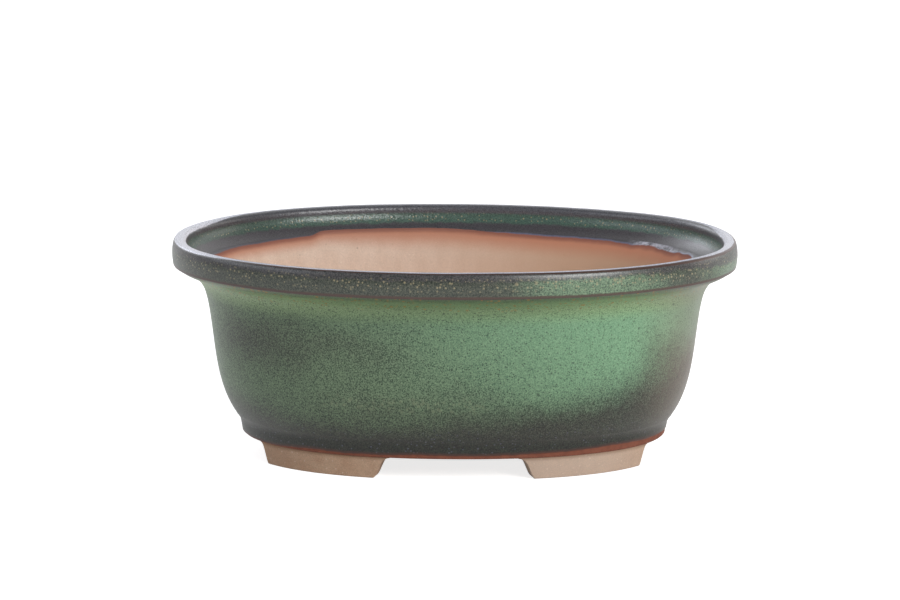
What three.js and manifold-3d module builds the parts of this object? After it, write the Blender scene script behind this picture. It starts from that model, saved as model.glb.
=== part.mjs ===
// Oval bonsai pot of glazed stoneware, made of the clay pieces that are luted together before firing:
// a rim band, a flared wall, a floor slab with drain and wire holes, and four feet.
// Millimetres, +Z up, +X along the pot. The origin is on the ground under the middle of the pot.
import * as THREE from 'three';
import { mergeVertices } from 'three/addons/utils/BufferGeometryUtils.js';
import Module from 'manifold-3d';

// Overall sizes
const POT_LENGTH = 302;
const POT_WIDTH = 232;
const POT_HEIGHT = 116.15;
const OVAL_POWER = 2.16; // 2 is an ellipse, more is squarer

// Rim band
const RIM_HEIGHT = 13.5;
const RIM_BULGE = 0.5;
const RIM_LOWER_EDGE = 0.8;
const RIM_UPPER_EDGE = 2.4;
const LIP_WIDTH = 7.2;
const LIP_INNER_EDGE = 3.5;
const INNER_FACE = 0.3; // upright face between the lip's inner edge and the cove under it

// Wall
const WALL_THICKNESS = 7;
const SHOULDER_STEP = 1.1; // the rim stands this far proud of the wall
const NECK_INSET = 17.5; // neck, in from the rim
const NECK_DROP = 16.3; // neck, down from the seam
const NECK_SLOPE = THREE.MathUtils.degToRad(14.4);
const FLARE_ANGLE = THREE.MathUtils.degToRad(48);
const FLARE_HANDLE = 6.2;
const FLARE_NECK_HANDLE = 13.6;
const INNER_FLARE_ANGLE = THREE.MathUtils.degToRad(32);
const INNER_FLARE_HANDLE = 5.9;
const INNER_NECK_HANDLE = 8.6;
const BELLY_HANDLE = 20;
const BASE_INSET = 35.4; // foot of the wall, in from the rim
const BASE_SLOPE = THREE.MathUtils.degToRad(42);
const BASE_HANDLE = 22.4;
const INNER_BASE_SLOPE = THREE.MathUtils.degToRad(36);
const INNER_BASE_HANDLE = 22;
const INNER_FILLET = 5; // height of the rounded corner between wall and floor
const INNER_TOE = 4; // reach of that corner over the floor
const TOE_THICKNESS = 0.8;

// Floor slab, whose edge shows as the band under the belly
const FLOOR_THICKNESS = 8.1;
const BAND_STEP = 0.2; // the band lies this far inside the foot of the wall
const BAND_TAPER = 1;
const BAND_EDGE = 1;
const DRAIN_DIAMETER = 24;
const DRAIN_SPACING = 104;
const WIRE_DIAMETER = 6.6;
const WIRE_SPACING_X = 44;
const WIRE_SPACING_Y = 62;
const HOLE_CHAMFER = 0.8;

// Feet
const FOOT_HEIGHT = 11.75;
const FOOT_STEP = 1.2; // the feet start this far inside the band
const FOOT_TAPER = 1.5;
const FOOT_THICKNESS = 13;
const FOOT_INNER_TAPER = 1.5;
const FOOT_EDGE = 0.8;
const FRONT_GAP = 68; // between two feet along X, at the floor
const SIDE_GAP = 72; // between two feet along Y, at the floor
const FOOT_FRONT_RUN = 8.2; // length of the curved end of a foot at the front gap
const FOOT_SIDE_RUN = 5.5; // the same at the side gap
const FOOT_END_ROOT = 0.79; // share of a curved end that its hollow upper part takes
const FOOT_END_TIP = 0.27; // share that its rounded lower part takes
const FOOT_LAND = 0.6; // height that is left at the very end of a foot

// Facets
const RING_SEGMENTS = 72;
const WALL_STEPS = 8;
const EDGE_STEPS = 3;
const DRAIN_SEGMENTS = 32;
const WIRE_SEGMENTS = 16;
const FOOT_END_STEPS = 9;
const FOOT_RUN_STEPS = 12;

// Levels and half-lengths that several pieces share
const rimReach = POT_LENGTH / 2 - RIM_BULGE;
const sideDifference = (POT_LENGTH - POT_WIDTH) / 2;
const seamLevel = POT_HEIGHT - RIM_HEIGHT;
const floorLevel = FOOT_HEIGHT + FLOOR_THICKNESS;
const seamOuter = rimReach - SHOULDER_STEP;
const seamInner = seamOuter - WALL_THICKNESS / Math.sin(INNER_FLARE_ANGLE);
const wallBase = rimReach - BASE_INSET;
const bandTop = wallBase - BAND_STEP;
const bandBottom = bandTop - BAND_TAPER;

const wasm = await Module();
wasm.setup();

const glaze = new THREE.MeshStandardMaterial({ color: 0x6b856b, roughness: 0.35, metalness: 0 });
const clay = new THREE.MeshStandardMaterial({ color: 0xb09882, roughness: 0.9, metalness: 0 });

// The ovals keep one difference between length and width. Inside the floor's edge they shrink to its middle.
function halfWidth(halfLength) {
  const floorRatio = (bandBottom - sideDifference) / bandBottom;
  return Math.max(halfLength - sideDifference, halfLength * floorRatio);
}

function spread(value) {
  return Math.sign(value) * Math.abs(value) ** (2 / OVAL_POWER);
}

function ovalPoint(halfLength, angle) {
  const x = halfLength * spread(Math.cos(angle));
  const y = halfWidth(halfLength) * spread(Math.sin(angle));
  return [x, y];
}

// Angle on an oval at which its x or y coordinate has a given share of the half-axis.
function angleAtX(share) {
  return Math.acos(share ** (OVAL_POWER / 2));
}

function angleAtY(share) {
  return Math.asin(share ** (OVAL_POWER / 2));
}

// Shares the vertices of a geometry and drops the triangles that have collapsed to a line.
function closedGeometry(geometry) {
  geometry.deleteAttribute('normal');
  geometry.deleteAttribute('uv');
  const merged = mergeVertices(geometry, 1e-4);
  const index = merged.index.array;
  const kept = [];
  for (let i = 0; i < index.length; i += 3) {
    const [a, b, c] = index.slice(i, i + 3);
    if (a !== b && b !== c && c !== a) kept.push(a, b, c);
  }
  merged.setIndex(kept);
  return merged;
}

// Sweeps a profile of (half-length, height) points round the oval, as a lathe does round a circle.
function ovalSweep(profile) {
  const geometry = new THREE.LatheGeometry(profile, RING_SEGMENTS);
  const position = geometry.attributes.position;
  for (let i = 0; i < position.count; i++) {
    const angle = Math.atan2(position.getZ(i), position.getX(i));
    const halfLength = Math.hypot(position.getX(i), position.getZ(i));
    const [x, y] = ovalPoint(halfLength, -angle);
    position.setXYZ(i, x, y, position.getY(i));
  }
  return closedGeometry(geometry);
}

function toSolid(geometry) {
  const vertProperties = new Float32Array(geometry.attributes.position.array);
  const triVerts = new Uint32Array(geometry.index.array);
  return new wasm.Manifold(new wasm.Mesh({ numProp: 3, vertProperties, triVerts }));
}

function toGeometry(solid) {
  const mesh = solid.getMesh();
  const geometry = new THREE.BufferGeometry();
  geometry.setAttribute('position', new THREE.BufferAttribute(mesh.vertProperties, 3));
  geometry.setIndex(new THREE.BufferAttribute(mesh.triVerts, 1));
  return geometry;
}

// Joins a row of equal closed sections into a solid with flat ends.
function loft(sections) {
  const size = sections[0].length;
  const positions = sections.flat().flatMap((point) => point.toArray());
  const index = [];
  for (let row = 0; row < sections.length - 1; row++) {
    for (let i = 0; i < size; i++) {
      const a = row * size + i;
      const b = row * size + ((i + 1) % size);
      index.push(a, b, a + size, b, b + size, a + size);
    }
  }
  const last = (sections.length - 1) * size;
  for (let i = 1; i < size - 1; i++) {
    index.push(0, i + 1, i, last, last + i, last + i + 1);
  }
  const geometry = new THREE.BufferGeometry();
  geometry.setAttribute('position', new THREE.Float32BufferAttribute(positions, 3));
  geometry.setIndex(index);
  return geometry;
}

function rimBand() {
  const lipInner = rimReach - LIP_WIDTH;
  const middle = (seamLevel + POT_HEIGHT) / 2;
  const coveTop = POT_HEIGHT - LIP_INNER_EDGE - INNER_FACE;
  const shape = new THREE.Path();
  shape.moveTo(seamInner, seamLevel);
  shape.lineTo(rimReach - RIM_LOWER_EDGE, seamLevel);
  shape.quadraticCurveTo(rimReach, seamLevel, rimReach, seamLevel + RIM_LOWER_EDGE);
  shape.quadraticCurveTo(rimReach + 2 * RIM_BULGE, middle, rimReach, POT_HEIGHT - RIM_UPPER_EDGE);
  const lean = (2 * RIM_BULGE) / (POT_HEIGHT - RIM_UPPER_EDGE - middle);
  const edgeCorner = rimReach - RIM_UPPER_EDGE * lean;
  shape.quadraticCurveTo(edgeCorner, POT_HEIGHT, rimReach - RIM_UPPER_EDGE, POT_HEIGHT);
  shape.lineTo(lipInner + LIP_INNER_EDGE, POT_HEIGHT);
  shape.quadraticCurveTo(lipInner, POT_HEIGHT, lipInner, POT_HEIGHT - LIP_INNER_EDGE);
  shape.lineTo(lipInner, coveTop);
  const coveCorner = seamLevel + (lipInner - seamInner) * Math.tan(INNER_FLARE_ANGLE);
  shape.quadraticCurveTo(lipInner, Math.min(coveCorner, coveTop), seamInner, seamLevel);
  return ovalSweep(shape.getPoints(EDGE_STEPS + 1));
}

// One face of the wall from the seam down: a flare into the neck, then the belly down to the base.
function wallFace(top, neck, base, form) {
  const face = new THREE.Path();
  const flareDirection = new THREE.Vector2(-Math.cos(form.flareAngle), -Math.sin(form.flareAngle));
  const neckDirection = new THREE.Vector2(-Math.sin(NECK_SLOPE), -Math.cos(NECK_SLOPE));
  const baseDirection = new THREE.Vector2(-Math.sin(form.baseSlope), -Math.cos(form.baseSlope));
  const topHandle = top.clone().addScaledVector(flareDirection, form.flareHandle);
  const neckUpper = neck.clone().addScaledVector(neckDirection, -form.neckHandle);
  const neckLower = neck.clone().addScaledVector(neckDirection, BELLY_HANDLE);
  const baseHandle = base.clone().addScaledVector(baseDirection, -form.baseHandle);
  face.moveTo(top.x, top.y);
  face.bezierCurveTo(topHandle.x, topHandle.y, neckUpper.x, neckUpper.y, neck.x, neck.y);
  face.bezierCurveTo(neckLower.x, neckLower.y, baseHandle.x, baseHandle.y, base.x, base.y);
  return face.getPoints(WALL_STEPS);
}

function bodyWall() {
  const neckLevel = seamLevel - NECK_DROP;
  const neck = rimReach - NECK_INSET;
  const innerNeck = neck - WALL_THICKNESS / Math.cos(NECK_SLOPE);
  const outer = wallFace(
    new THREE.Vector2(seamOuter, seamLevel),
    new THREE.Vector2(neck, neckLevel),
    new THREE.Vector2(wallBase, floorLevel),
    {
      flareAngle: FLARE_ANGLE,
      flareHandle: FLARE_HANDLE,
      neckHandle: FLARE_NECK_HANDLE,
      baseSlope: BASE_SLOPE,
      baseHandle: BASE_HANDLE,
    },
  );
  const filletReach = INNER_FILLET * Math.tan(BASE_SLOPE);
  const innerCorner = wallBase - WALL_THICKNESS / Math.cos(BASE_SLOPE);
  const innerBase = new THREE.Vector2(innerCorner + filletReach, floorLevel + INNER_FILLET);
  const inner = wallFace(
    new THREE.Vector2(seamInner, seamLevel),
    new THREE.Vector2(innerNeck, neckLevel),
    innerBase,
    {
      flareAngle: INNER_FLARE_ANGLE,
      flareHandle: INNER_FLARE_HANDLE,
      neckHandle: INNER_NECK_HANDLE,
      baseSlope: INNER_BASE_SLOPE,
      baseHandle: INNER_BASE_HANDLE,
    },
  );
  const toe = innerCorner - INNER_TOE;
  const toeLevel = floorLevel + TOE_THICKNESS;
  const fillet = new THREE.Path();
  fillet.moveTo(innerBase.x, innerBase.y);
  fillet.quadraticCurveTo(innerCorner, toeLevel, toe, toeLevel);
  fillet.lineTo(toe, floorLevel);
  const innerFace = [...inner, ...fillet.getPoints(EDGE_STEPS + 1).slice(1)];
  return ovalSweep([...innerFace, ...outer.reverse(), innerFace[0]]);
}

// Cutter for a round hole through the floor with a chamfer at both faces.
function holeCutter(x, y, diameter, segments) {
  const radius = diameter / 2;
  const overrun = 1;
  const mouth = radius + HOLE_CHAMFER + overrun;
  const profile = [
    new THREE.Vector2(0, FOOT_HEIGHT - overrun),
    new THREE.Vector2(mouth, FOOT_HEIGHT - overrun),
    new THREE.Vector2(radius, FOOT_HEIGHT + HOLE_CHAMFER),
    new THREE.Vector2(radius, floorLevel - HOLE_CHAMFER),
    new THREE.Vector2(mouth, floorLevel + overrun),
    new THREE.Vector2(0, floorLevel + overrun),
  ];
  const geometry = new THREE.LatheGeometry(profile, segments);
  geometry.rotateX(Math.PI / 2);
  geometry.translate(x, y, 0);
  return toSolid(closedGeometry(geometry));
}

function floorSlab() {
  const edge = new THREE.Path();
  edge.moveTo(0, FOOT_HEIGHT);
  edge.lineTo(bandBottom - BAND_EDGE, FOOT_HEIGHT);
  edge.quadraticCurveTo(bandBottom, FOOT_HEIGHT, bandBottom, FOOT_HEIGHT + BAND_EDGE);
  edge.lineTo(bandTop, floorLevel);
  edge.lineTo(0, floorLevel);
  let slab = toSolid(ovalSweep(edge.getPoints(EDGE_STEPS)));
  for (const sideX of [-1, 1]) {
    slab = slab.subtract(holeCutter((sideX * DRAIN_SPACING) / 2, 0, DRAIN_DIAMETER, DRAIN_SEGMENTS));
    for (const sideY of [-1, 1]) {
      const x = (sideX * WIRE_SPACING_X) / 2;
      const y = (sideY * WIRE_SPACING_Y) / 2;
      slab = slab.subtract(holeCutter(x, y, WIRE_DIAMETER, WIRE_SEGMENTS));
    }
  }
  return toGeometry(slab);
}

// Stretch of the oval at the floor's lower edge that one foot stands under.
class OvalArc extends THREE.Curve {
  constructor(halfLength, startAngle, endAngle) {
    super();
    this.halfLength = halfLength;
    this.startAngle = startAngle;
    this.endAngle = endAngle;
  }

  getPoint(share, target = new THREE.Vector3()) {
    const angle = THREE.MathUtils.lerp(this.startAngle, this.endAngle, share);
    const [x, y] = ovalPoint(this.halfLength, angle);
    return target.set(x, y, 0);
  }
}

// Curved end of a foot as (distance from the end, height of the underside).
function footEnd(run) {
  const top = FOOT_HEIGHT - FOOT_LAND;
  const end = new THREE.Path();
  end.moveTo(0, top);
  end.bezierCurveTo(run * FOOT_END_ROOT, top, run * (1 - FOOT_END_TIP), 0, run, 0);
  return end.getPoints(FOOT_END_STEPS);
}

// Distance along a foot and height of its underside, from one end to the other.
function footUnderside(length, startRun, finishRun) {
  const start = footEnd(startRun);
  const finish = footEnd(finishRun).map((point) => new THREE.Vector2(length - point.x, point.y));
  const middle = [];
  for (let i = 1; i < FOOT_RUN_STEPS; i++) {
    const distance = THREE.MathUtils.lerp(startRun, length - finishRun, i / FOOT_RUN_STEPS);
    middle.push(new THREE.Vector2(distance, 0));
  }
  return [...start, ...middle, ...finish.reverse()];
}

// Section of a foot as (distance in from the band, height), with rounded lower edges.
function footSection(underside) {
  const outerAt = (height) => FOOT_STEP + FOOT_TAPER * (1 - height / FOOT_HEIGHT);
  const innerAt = (height) => FOOT_STEP + FOOT_THICKNESS - FOOT_INNER_TAPER * (1 - height / FOOT_HEIGHT);
  const radius = Math.min(FOOT_EDGE, (FOOT_HEIGHT - underside) / 2);
  const rise = underside + radius;
  const section = new THREE.Path();
  section.moveTo(outerAt(FOOT_HEIGHT), FOOT_HEIGHT);
  section.lineTo(outerAt(rise), rise);
  section.quadraticCurveTo(outerAt(underside), underside, outerAt(underside) + radius, underside);
  section.lineTo(innerAt(underside) - radius, underside);
  section.quadraticCurveTo(innerAt(underside), underside, innerAt(rise), rise);
  section.lineTo(innerAt(FOOT_HEIGHT), FOOT_HEIGHT);
  return section.getPoints(EDGE_STEPS - 1);
}

function foot(start, finish) {
  const arc = new OvalArc(bandBottom, start.angle, finish.angle);
  const length = arc.getLength();
  const sections = footUnderside(length, start.run, finish.run).map((station) => {
    const share = station.x / length;
    const point = arc.getPointAt(share);
    const tangent = arc.getTangentAt(share);
    const inward = new THREE.Vector3(-tangent.y, tangent.x, 0);
    return footSection(station.y).map((corner) => {
      const place = point.clone().addScaledVector(inward, corner.x);
      return place.setZ(corner.y);
    });
  });
  return loft(sections);
}

const pot = new THREE.Group();

function addPiece(name, geometry, material) {
  const mesh = new THREE.Mesh(geometry, material);
  mesh.name = name;
  geometry.computeVertexNormals();
  pot.add(mesh);
}

addPiece('rim_band', rimBand(), glaze);
addPiece('body_wall', bodyWall(), glaze);
addPiece('floor_slab', floorSlab(), clay);

// Each foot runs from a side gap to a front or rear gap, in one quarter of the oval.
const sideAngle = angleAtY(SIDE_GAP / 2 / halfWidth(bandBottom));
const frontAngle = angleAtX(FRONT_GAP / 2 / bandBottom);
const sideEnd = (angle) => ({ angle, run: FOOT_SIDE_RUN });
const frontEnd = (angle) => ({ angle, run: FOOT_FRONT_RUN });
addPiece('foot_rear_right', foot(sideEnd(sideAngle), frontEnd(frontAngle)), clay);
addPiece('foot_rear_left', foot(frontEnd(Math.PI - frontAngle), sideEnd(Math.PI - sideAngle)), clay);
addPiece('foot_front_left', foot(sideEnd(Math.PI + sideAngle), frontEnd(Math.PI + frontAngle)), clay);
addPiece('foot_front_right', foot(frontEnd(-frontAngle), sideEnd(-sideAngle)), clay);

export default pot;
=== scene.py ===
# Looks of an oval bonsai pot: smoky green glaze outside, bare clay inside and on the feet.
# Metres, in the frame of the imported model: +Z up, +X along the pot, the front towards -Y.
import math

import bpy
from mathutils import Matrix, Vector, noise


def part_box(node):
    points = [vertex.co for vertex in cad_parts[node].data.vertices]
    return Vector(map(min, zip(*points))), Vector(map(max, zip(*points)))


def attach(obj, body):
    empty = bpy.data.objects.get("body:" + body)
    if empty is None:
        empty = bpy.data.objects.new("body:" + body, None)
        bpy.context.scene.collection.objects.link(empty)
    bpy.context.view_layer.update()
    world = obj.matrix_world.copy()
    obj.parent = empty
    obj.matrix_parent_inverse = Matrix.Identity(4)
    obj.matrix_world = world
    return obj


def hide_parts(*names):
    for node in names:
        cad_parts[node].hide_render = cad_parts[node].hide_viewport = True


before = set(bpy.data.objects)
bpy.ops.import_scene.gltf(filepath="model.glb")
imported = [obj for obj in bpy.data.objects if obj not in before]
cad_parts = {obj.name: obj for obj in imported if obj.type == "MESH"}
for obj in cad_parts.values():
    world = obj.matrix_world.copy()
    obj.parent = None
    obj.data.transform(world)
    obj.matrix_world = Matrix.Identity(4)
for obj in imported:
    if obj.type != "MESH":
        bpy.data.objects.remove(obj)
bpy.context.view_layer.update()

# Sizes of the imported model
rim_low, rim_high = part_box("rim_band")
slab_low, slab_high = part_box("floor_slab")
POT_TOP = rim_high.z
SEAM_LEVEL = rim_low.z  # between the rim and the wall
FLOOR_LEVEL = slab_high.z
FOOT_TOP = slab_low.z
SIDE_DIFFERENCE = rim_high.x - rim_high.y  # half-length less half-width of every oval of the wall
BAND_TOP = slab_high.x

# Form of the pieces, as in the solids apart from the filled crease and the ends of the feet
OVAL_POWER = 2.16  # 2 is an ellipse, more is squarer
RIM_BULGE = 0.0005
RIM_LOWER_EDGE = 0.0008
RIM_UPPER_EDGE = 0.0024
LIP_WIDTH = 0.0072
LIP_INNER_EDGE = 0.0035
INNER_FACE = 0.0003  # upright face between the lip's inner edge and the cove
WALL_THICKNESS = 0.007
SHOULDER_STEP = 0.0011  # the rim stands this far proud of the wall
NECK_INSET = 0.0175  # from the rim
NECK_DROP = 0.0163  # from the seam
NECK_SLOPE = math.radians(14.4)
FLARE_ANGLE = math.radians(48)
FLARE_HANDLE = 0.0062
FLARE_NECK_HANDLE = 0.0136
INNER_FLARE_ANGLE = math.radians(32)
INNER_FLARE_HANDLE = 0.0059
INNER_NECK_HANDLE = 0.0086
BELLY_HANDLE = 0.02
BASE_INSET = 0.0354  # from the rim
BASE_SLOPE = math.radians(42)
BASE_HANDLE = 0.0224
INNER_BASE_SLOPE = math.radians(36)
INNER_BASE_HANDLE = 0.022
INNER_FILLET = 0.005  # height of the rounded corner between wall and floor
INNER_TOE = 0.004  # reach of that corner over the floor
TOE_THICKNESS = 0.0008
BAND_TAPER = 0.001
BAND_EDGE = 0.001
CREASE_RISE = 0.0024  # glaze fills the crease this far up and down
DRAIN_RADIUS = 0.012
DRAIN_PLACE = 0.052
WIRE_RADIUS = 0.0033
WIRE_PLACE = (0.022, 0.031)
HOLE_ROUNDING = 0.0008
FOOT_STEP = 0.0012  # the feet stand this far inside the band
FOOT_TAPER = 0.0015
FOOT_THICKNESS = 0.013
FOOT_INNER_TAPER = 0.0015
FOOT_EDGE = 0.0009
FRONT_GAP = 0.068  # between two feet at the front and at the rear
SIDE_GAP = 0.072  # the same at the left and at the right
FOOT_FRONT_RUN = 0.0094  # length of a foot's curved end at a front or rear gap
FOOT_SIDE_RUN = 0.0055  # the same at a side gap
FOOT_END_ROOT = (0.65, 0.48)  # shares of run and height where that end turns from hollow to straight
FOOT_END_TIP = (0.78, 0.24)  # the same where it turns from straight to round
FOOT_LAND = 0.0004  # height that is left at the very end of a foot

# Fineness of the meshes
RING_SEGMENTS = 360
CURVE_STEPS = 44
EDGE_STEPS = 6
RIM_FACE_STEPS = 24
RIM_EDGE_STEPS = 12
LIP_STEPS = 8
LIP_EDGE_STEPS = 16
INNER_FACE_STEPS = 10
COVE_STEPS = 20
CREASE_STEPS = 8
BAND_STEPS = 20
SLAB_STEPS = 24
HOLE_SEGMENTS = 64
FOOT_END_STEPS = 10
FOOT_RUN_STEPS = 40
FOOT_FACE_STEPS = 8
SHARP_ANGLE = math.radians(40)
LEVEL_NORMAL = 0.9  # a face is level when its normal has more of Z than this

# Surface of glaze and clay
GLAZE_DEPTH = 0.0003  # the glaze stands this far above the bare clay
GLAZE_STEP = (-0.0004, 0.0001)  # distances from the glaze's edge between which that step lies
SEAM_BLEND = (0.0002, 0.0015)  # depths under the seam between which the step sets in
SLOW_WAVES, SLOW_UNEVEN = 14, 0.00035  # the clay's unevenness: waves to the metre, size
QUICK_WAVES, QUICK_UNEVEN = 90, 0.00005
UNEVEN_SEED = 7
POOL_REACH = 0.0062  # width of the thick glaze in the cove
FAR = 1.0  # distance over the glaze's edge that is glazed for sure, or bare with a minus

# Where the glaze ends inside, from the seam. A pair is the start and end of a change, from the middle
INNER_GLAZE_RISE = 0.0014
INNER_GLAZE_HANG = 0.0026
HANG_LEFT = (0.073, 0.081)
HANG_LEFT_END = (0.083, 0.113)
HANG_RIGHT = (-0.02, 0.06)
RAGGED_RIGHT = (0.085, 0.105)
INNER_WANDER, INNER_WANDER_SIZE = (45, 3.0), 0.0004  # waves to the metre, layer of the noise; size
INNER_RIPPLE, INNER_RIPPLE_SIZE = (160, 9.0), 0.0001

# Where the glaze ends on the band, from the floor's underside
BAND_GLAZE_RISE = 0.0021
BAND_LEFT_DROP = 0.0006
BAND_RIGHT_RISE = 0.0013
BAND_LEFT = (0.02, 0.05)
BAND_LEFT_END = (0.085, 0.100)
BAND_RIGHT = (0.03, 0.075)
BAND_WANDER, BAND_WANDER_SIZE = (40, 5.0), 0.0006
BAND_RIPPLE, BAND_RIPPLE_SIZE = (150, 2.0), 0.0002

# Camera, fitted to the photo
CAMERA_ELEVATION = math.radians(10.29)
CAMERA_DISTANCE = 2.20215
CAMERA_AIM = Vector((-0.00252, 0, 0.08184))
CAMERA_ROLL = math.radians(0.32)
CAMERA_LENS = 164.27
SENSOR_WIDTH = 36

# Ground and light of the room, where 1 is white
GROUND_SIZE = 12  # from the middle to each side
GROUND_GREY = 0.62
GROUND_ROUGHNESS = 0.9
GROUND_SEEN = 0.78  # glow of the ground in the camera
GROUND_MIRRORED = 0.45  # its glow in reflections
ROOM_FRONT = 0.12
ROOM_BACK = 1.0
ROOM_CHANGE = (0.1, 0.8)  # Y of a direction
WHITE_LIGHT = (1, 1, 1)
COOL_LIGHT = (0.88, 0.92, 1.0)
WARM_LIGHT = (1.0, 0.93, 0.88)

# Lamps: name, place, size, power, colour
LAMPS = (
    ("key", (1.21, -1.54, 1.06), (1.0, 0.9), 32, WHITE_LIGHT),
    ("fill", (-1.80, -0.59, 1.15), (2.2, 1.2), 13, COOL_LIGHT),
    ("edge", (-1.40, 1.65, 1.25), (1.4, 1.0), 13, COOL_LIGHT),
    ("glow", (1.90, 0.75, 0.70), (1.2, 1.0), 6, WARM_LIGHT),
)

rim_reach = rim_high.x - RIM_BULGE
seam_outer = rim_reach - SHOULDER_STEP
seam_inner = seam_outer - WALL_THICKNESS / math.sin(INNER_FLARE_ANGLE)
wall_base = rim_reach - BASE_INSET
band_bottom = BAND_TOP - BAND_TAPER


def smooth(value, low, high):
    """Smooth step from 0, at low, to 1, at high."""
    share = min(max((value - low) / (high - low), 0), 1)
    return share * share * (3 - 2 * share)


def near(place, start, end):
    """Two places at distances from a given one."""
    return place + start, place + end


# The oval and its outlines


def half_width(half_length):
    """Half-width of an oval. Inside the floor's edge the ovals shrink evenly to the middle."""
    floor_ratio = (band_bottom - SIDE_DIFFERENCE) / band_bottom
    return max(half_length - SIDE_DIFFERENCE, half_length * floor_ratio)


def spread(value):
    return math.copysign(abs(value) ** (2 / OVAL_POWER), value)


def oval_point(half_length, angle, height=0):
    x = half_length * spread(math.cos(angle))
    y = half_width(half_length) * spread(math.sin(angle))
    return Vector((x, y, height))


def ring_angle(segment):
    return 2 * math.pi * segment / RING_SEGMENTS


def running_lengths(points):
    """Distance of each point from the first, along the row."""
    lengths = [0.0]
    for before, after in zip(points, points[1:]):
        lengths.append(lengths[-1] + (after - before).length)
    return lengths


class Outline:
    """Row of (half-length, height) points, some of them marked with a name."""

    def __init__(self, start):
        self.points = [Vector(start)]
        self.marks = {}

    def line(self, end, steps=1):
        start = self.points[-1]
        self.points += [start.lerp(Vector(end), (i + 1) / steps) for i in range(steps)]

    def curve(self, *controls, steps=EDGE_STEPS):
        """Bezier curve. The last control is its end."""
        corners = [self.points[-1], *map(Vector, controls)]
        for i in range(1, steps + 1):
            row = corners
            while len(row) > 1:
                row = [before.lerp(after, i / steps) for before, after in zip(row, row[1:])]
            self.points += row

    def mark(self, name):
        self.marks[name] = len(self.points) - 1


def rim_outline():
    """From the seam up the face, over the lip, and down the cove to the seam."""
    middle = (SEAM_LEVEL + POT_TOP) / 2
    lip_inner = rim_reach - LIP_WIDTH
    cove_top = POT_TOP - LIP_INNER_EDGE - INNER_FACE
    hidden = (seam_inner + seam_outer) / 2
    outline = Outline((hidden, SEAM_LEVEL))
    outline.line((rim_reach - RIM_LOWER_EDGE, SEAM_LEVEL), 2)
    outline.curve((rim_reach, SEAM_LEVEL), (rim_reach, SEAM_LEVEL + RIM_LOWER_EDGE))
    outline.mark("lower_edge")
    bulge = (rim_reach + 2 * RIM_BULGE, middle)
    outline.curve(bulge, (rim_reach, POT_TOP - RIM_UPPER_EDGE), steps=RIM_FACE_STEPS)
    outline.mark("upper_edge")
    lean = 2 * RIM_BULGE / (POT_TOP - RIM_UPPER_EDGE - middle)
    corner = (rim_reach - RIM_UPPER_EDGE * lean, POT_TOP)
    outline.curve(corner, (rim_reach - RIM_UPPER_EDGE, POT_TOP), steps=RIM_EDGE_STEPS)
    outline.mark("lip")
    outline.line((lip_inner + LIP_INNER_EDGE, POT_TOP), LIP_STEPS)
    outline.mark("inner_edge")
    outline.curve((lip_inner, POT_TOP), (lip_inner, POT_TOP - LIP_INNER_EDGE), steps=LIP_EDGE_STEPS)
    outline.mark("inner_face")
    outline.line((lip_inner, cove_top), INNER_FACE_STEPS)
    outline.mark("cove")
    cove_corner = SEAM_LEVEL + (lip_inner - seam_inner) * math.tan(INNER_FLARE_ANGLE)
    outline.curve((lip_inner, min(cove_corner, cove_top)), (seam_inner, SEAM_LEVEL), steps=COVE_STEPS)
    return outline


def wall_face(outline, neck, base, flare_angle, flare_handle, neck_handle, base_slope, base_handle):
    """Adds one face of the wall, from the seam down to its base."""
    neck_direction = Vector((-math.sin(NECK_SLOPE), -math.cos(NECK_SLOPE)))
    flare_direction = Vector((-math.cos(flare_angle), -math.sin(flare_angle)))
    base_direction = Vector((-math.sin(base_slope), -math.cos(base_slope)))
    flare = outline.points[-1] + flare_direction * flare_handle
    outline.curve(flare, neck - neck_direction * neck_handle, neck, steps=CURVE_STEPS)
    belly = neck + neck_direction * BELLY_HANDLE
    outline.curve(belly, base - base_direction * base_handle, base, steps=CURVE_STEPS)


def crease():
    """Top, middle and bottom of the glaze that fills the crease between the wall and the band."""
    corner = Vector((wall_base, FLOOR_LEVEL))
    inset = (wall_base - band_bottom) * CREASE_RISE / (FLOOR_LEVEL - FOOT_TOP)
    above = corner + Vector((CREASE_RISE * math.tan(BASE_SLOPE), CREASE_RISE))
    below = corner - Vector((inset, CREASE_RISE))
    return above, above.lerp(corner, 0.5).lerp(corner.lerp(below, 0.5), 0.5), below


def wall_outline():
    """From the seam down the inside, then up the outside."""
    neck_level = SEAM_LEVEL - NECK_DROP
    neck = Vector((rim_reach - NECK_INSET, neck_level))
    inner_neck = Vector((neck.x - WALL_THICKNESS / math.cos(NECK_SLOPE), neck_level))
    base = Vector((wall_base, FLOOR_LEVEL))
    inner_corner = wall_base - WALL_THICKNESS / math.cos(BASE_SLOPE)
    inner_base = Vector((inner_corner + INNER_FILLET * math.tan(BASE_SLOPE), FLOOR_LEVEL + INNER_FILLET))
    toe = inner_corner - INNER_TOE
    toe_level = FLOOR_LEVEL + TOE_THICKNESS
    outer_flare = (FLARE_ANGLE, FLARE_HANDLE, FLARE_NECK_HANDLE)
    inner_flare = (INNER_FLARE_ANGLE, INNER_FLARE_HANDLE, INNER_NECK_HANDLE)
    outer = Outline((seam_outer, SEAM_LEVEL))
    wall_face(outer, neck, base, *outer_flare, BASE_SLOPE, BASE_HANDLE)
    above, middle, _ = crease()
    outer.points = [p for p in outer.points if p.y > above.y]
    outer.line(above)
    outer.curve(above.lerp(base, 0.5), middle, steps=CREASE_STEPS)
    outline = Outline((seam_inner, SEAM_LEVEL))
    wall_face(outline, inner_neck, inner_base, *inner_flare, INNER_BASE_SLOPE, INNER_BASE_HANDLE)
    outline.curve((inner_corner, toe_level), (toe, toe_level))
    outline.line((toe, FLOOR_LEVEL))
    outline.mark("inside_end")
    outline.points += reversed(outer.points)
    return outline


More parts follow.
